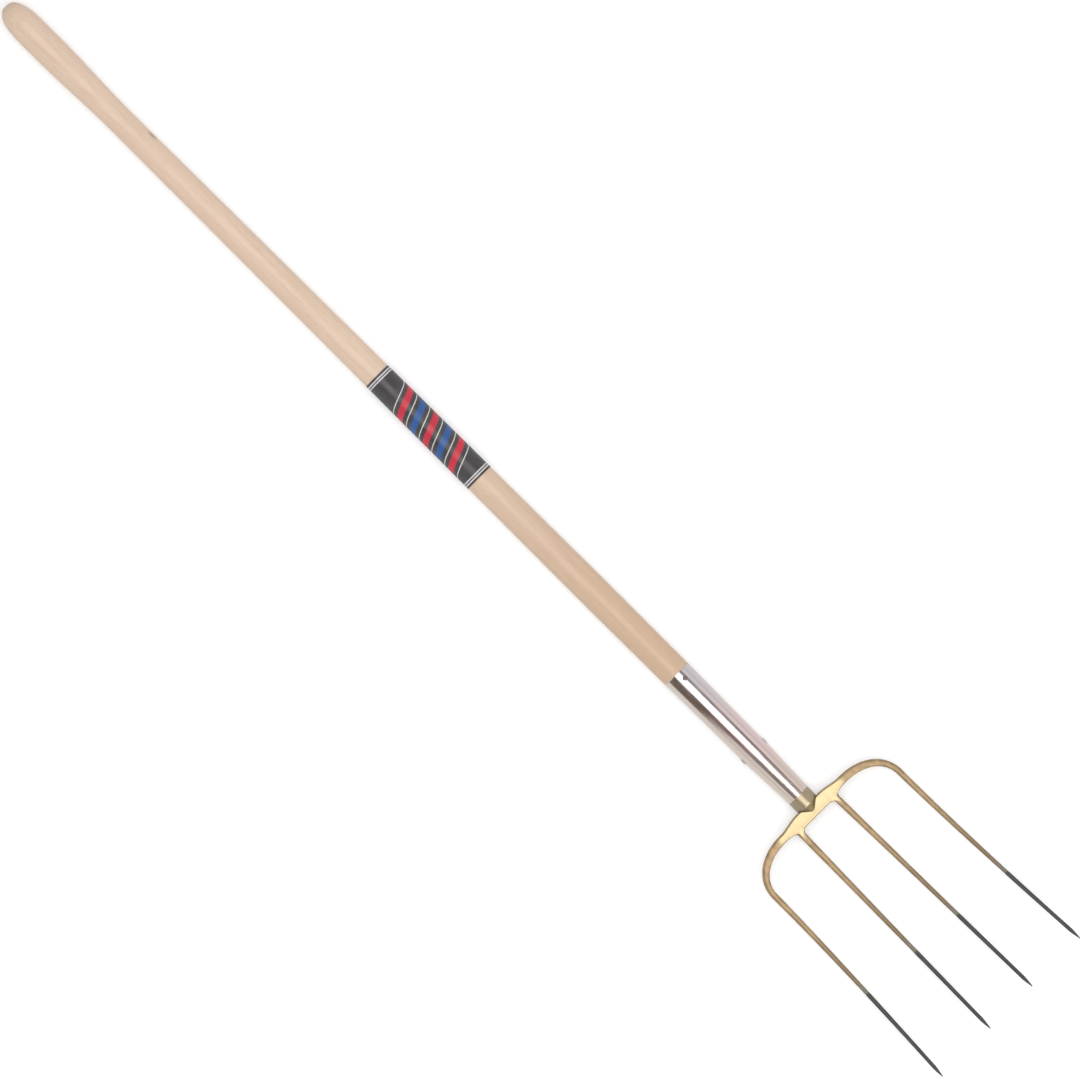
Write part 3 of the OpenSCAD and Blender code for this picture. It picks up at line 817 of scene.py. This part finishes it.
# Studio: a white room with a long soft box overhead, a soft fill from each side and, for the bright metal,
# a lamp beyond the points. Two dark gaps in the room and three dark cards edge the stripe on the ferrule.
white, gap_light, room_light = (1, 1, 1, 1), 0.23, 0.45
low_wall, high_wall, low_wall_light = 0.25, 0.60, 0.80
world = bpy.data.worlds.new("studio")
bpy.context.scene.world = world
world.use_nodes = True
tree = world.node_tree
tree.nodes.clear()
rays = node(tree, "ShaderNodeLightPath").outputs
mirrored = maths(tree, "MAXIMUM", rays["Is Glossy Ray"], rays["Is Transmission Ray"])
seen = maths(tree, "MAXIMUM", rays["Is Camera Ray"], mirrored)
aim = axes(tree, node(tree, "ShaderNodeTexCoord").outputs["Generated"])
lean = maths(tree, "ARCTAN2", aim["Y"], aim["Z"])


def room_gap(start, full, fade, end, depth):
    """A dark gap along the room that opens and closes between angles in degrees from overhead."""
    opening = ranged(tree, lean, math.radians(start), math.radians(full))
    closing = ranged(tree, lean, math.radians(fade), math.radians(end), depth, 0.0)
    return maths(tree, "MULTIPLY", opening, closing)


both_gaps = maths(tree, "ADD", room_gap(20, 26, 40, 47, 0.9), room_gap(-56, -46, -23, -18, 1.0))
gap = maths(tree, "MULTIPLY", both_gaps, rays["Is Glossy Ray"])
wall_light = ranged(tree, aim["Z"], low_wall, high_wall, low_wall_light, 1.0)
wall_light = maths(tree, "MAXIMUM", wall_light, rays["Is Camera Ray"])
wall_light = maths(tree, "MULTIPLY", wall_light, ranged(tree, gap, 0.0, 1.0, 1.0, gap_light))
walls = node(tree, "ShaderNodeBackground", {"Color": white, "Strength": wall_light}).outputs[0]
room = node(tree, "ShaderNodeBackground", {"Color": white, "Strength": room_light}).outputs[0]
mixed = node(tree, "ShaderNodeMixShader", {0: seen, 1: room, 2: walls}).outputs[0]
node(tree, "ShaderNodeOutputWorld", {"Surface": mixed})


def lamp(name, at, target, width, height, radiance, in_mirrors):
    """A flat lamp of a stated brightness, hidden from the camera."""
    light = bpy.data.lights.new(name, "AREA")
    light.shape = "RECTANGLE"
    light.size, light.size_y = width, height
    light.energy = radiance * math.pi * width * height
    made = placed(name, light)
    made.location = at
    made.rotation_euler = (Vector(target) - Vector(at)).to_track_quat("-Z", "Y").to_euler()
    made.visible_camera = False
    made.visible_glossy = in_mirrors
    return made


under_box = (0.5, 0, 0)
fill = {"target": (0, 0, 0), "width": 3.6, "height": 1.5, "radiance": 1.15, "in_mirrors": False}
lamp("soft_box", (0.5, 0, 3.0), under_box, 4.4, 2.16, radiance=2.33, in_mirrors=True)
lamp("left_fill", (0, 3.0, 0.9), **fill)
lamp("right_fill", (0, -3.0, 0.9), **fill)
head_fill = lamp("head_fill", (3.6, 0, 2.0), under_box, 3.0, 2.4, radiance=2.2, in_mirrors=True)
head_fill.visible_diffuse = False


def dark_card(name, corners, shade):
    """A dark card that only bright metal sees."""
    mesh = bpy.data.meshes.new(name)
    mesh.from_pydata(corners, [], [range(len(corners))])
    card = placed(name, mesh)
    cloth, tree = bare_material(name + "_cloth")
    glow = node(tree, "ShaderNodeEmission", {"Color": shade, "Strength": 1.0}).outputs[0]
    node(tree, "ShaderNodeOutputMaterial", {"Surface": glow})
    mesh.materials.append(cloth)
    card.visible_camera = False
    card.visible_diffuse = False
    card.visible_shadow = False


card_y, brown_cloth, grey_cloth = -0.26, (0.17, 0.12, 0.085, 1), (0.22, 0.20, 0.20, 1)
card_outline = ((0.27, 0.05), (0.27, 0.56), (0.395, 0.56), (0.395, 0.32), (0.35, 0.06))
dark_card("side_card", [(x, card_y, z) for x, z in card_outline], brown_cloth)
flag_start, flag_full, flag_end, flag_outer, flag_z = 0.45, 0.70, 1.30, 1.15, 2.9
for name, side, inner in (("left_flag", 1, 0.54), ("right_flag", -1, 0.66)):
    flag = ((flag_start, flag_outer), (flag_full, inner), (flag_end, inner), (flag_end, flag_outer))
    dark_card(name, [(x, side * y, flag_z) for x, y in flag], grey_cloth)

# Camera: far above the tool and looking straight down, turned so that the handle runs from the upper left
# to the points at the lower right.
camera_x, camera_y, camera_height, camera_turn = 0.05267, -0.00029, 10.0, math.radians(44.87)
picture_width, film_width = 1.25496, 36
camera_data = bpy.data.cameras.new("camera")
camera = placed("camera", camera_data)
camera.location = (camera_x, camera_y, camera_height)
camera.rotation_euler = (0, 0, camera_turn)
camera_data.sensor_width = film_width
camera_data.lens = film_width * (camera_height - axis_z) / picture_width
camera_data.clip_end = 200
bpy.context.scene.camera = camera
bpy.context.scene.view_settings.view_transform = "Standard"
